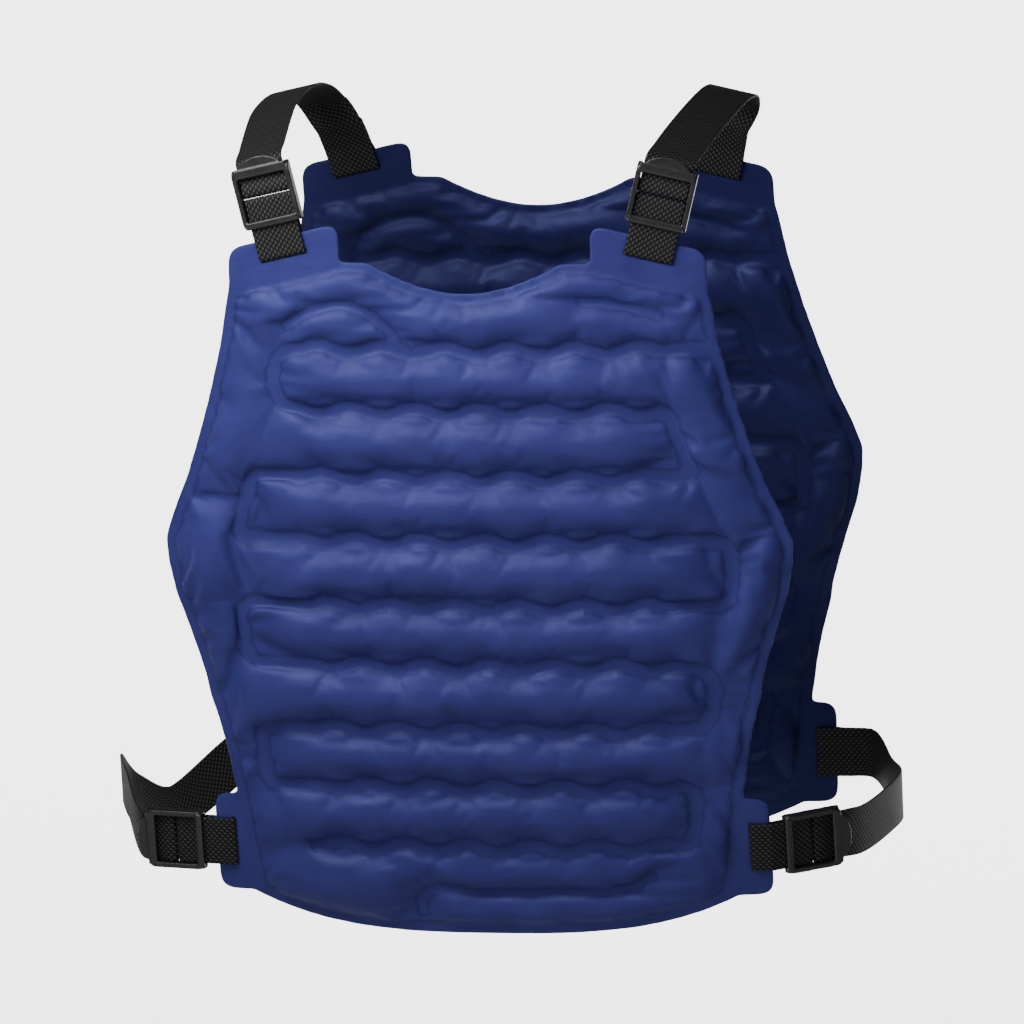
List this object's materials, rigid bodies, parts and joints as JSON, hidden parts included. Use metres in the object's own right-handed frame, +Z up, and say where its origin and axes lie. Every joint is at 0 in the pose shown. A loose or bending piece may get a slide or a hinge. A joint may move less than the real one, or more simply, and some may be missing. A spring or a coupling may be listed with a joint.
{
  "type": "cooling vest",
  "caption": "Quilted two-panel cooling vest with wavy welded channels, joined by webbing shoulder and waist straps with ladder buckles.",
  "frame": {"origin": "midway between the undersides of the two shoulder straps at their highest point, where the wearer's shoulders carry the vest", "axes": "+Z up, -Y towards the front panel, +X to the right of someone who looks at the front panel"},
  "size_m": [0.4835, 0.2641, 0.4943],
  "materials": {
    "coated_fabric": "satin coated nylon, navy to royal blue",
    "webbing": "black woven webbing",
    "buckle_plastic": "fine-grained moulded black"
  },
  "bodies": {
    "root": {"front_panel": "coated_fabric", "back_panel": "coated_fabric", "shoulder_left_strap": "webbing", "shoulder_left_anchor_loop": "webbing", "shoulder_left_buckle": "buckle_plastic", "shoulder_right_strap": "webbing", "shoulder_right_anchor_loop": "webbing", "shoulder_right_buckle": "buckle_plastic", "waist_left_strap": "webbing", "waist_left_anchor_loop": "webbing", "waist_left_buckle": "buckle_plastic", "waist_right_strap": "webbing", "waist_right_anchor_loop": "webbing", "waist_right_buckle": "buckle_plastic"}
  },
  "joints": []
}
